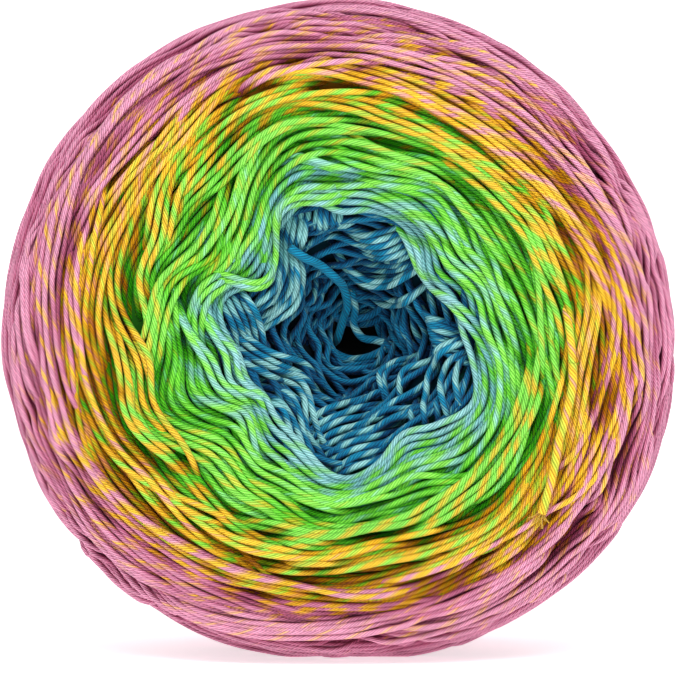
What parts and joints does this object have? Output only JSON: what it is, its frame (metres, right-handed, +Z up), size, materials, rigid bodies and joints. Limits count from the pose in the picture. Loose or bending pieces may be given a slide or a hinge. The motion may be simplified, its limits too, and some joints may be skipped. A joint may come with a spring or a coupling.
{
  "type": "yarn cake",
  "caption": "Centre-pull yarn cake: a squat wound cylinder of marled cotton with a hollow and a crooked bore, standing on its rim, with a loose inner end and a cut outer end.",
  "frame": {"origin": "middle of the flat spot under the rim, on which the cake stands", "axes": "+Z up; +Y along the winding axis, from the front face to the back; +X to the right, seen from the front"},
  "size_m": [0.1501, 0.0882, 0.146],
  "materials": {
    "wound_yarn": "soft twisted cotton, colours change from blue in the hollow to pink on the rim",
    "inner_end_yarn": "soft twisted cotton, plain blue",
    "outer_end_yarn": "soft twisted cotton, yellow and pink plies"
  },
  "bodies": {
    "root": {"yarn_cake": "wound_yarn", "inner_end": "inner_end_yarn", "outer_end": "outer_end_yarn"}
  },
  "joints": []
}
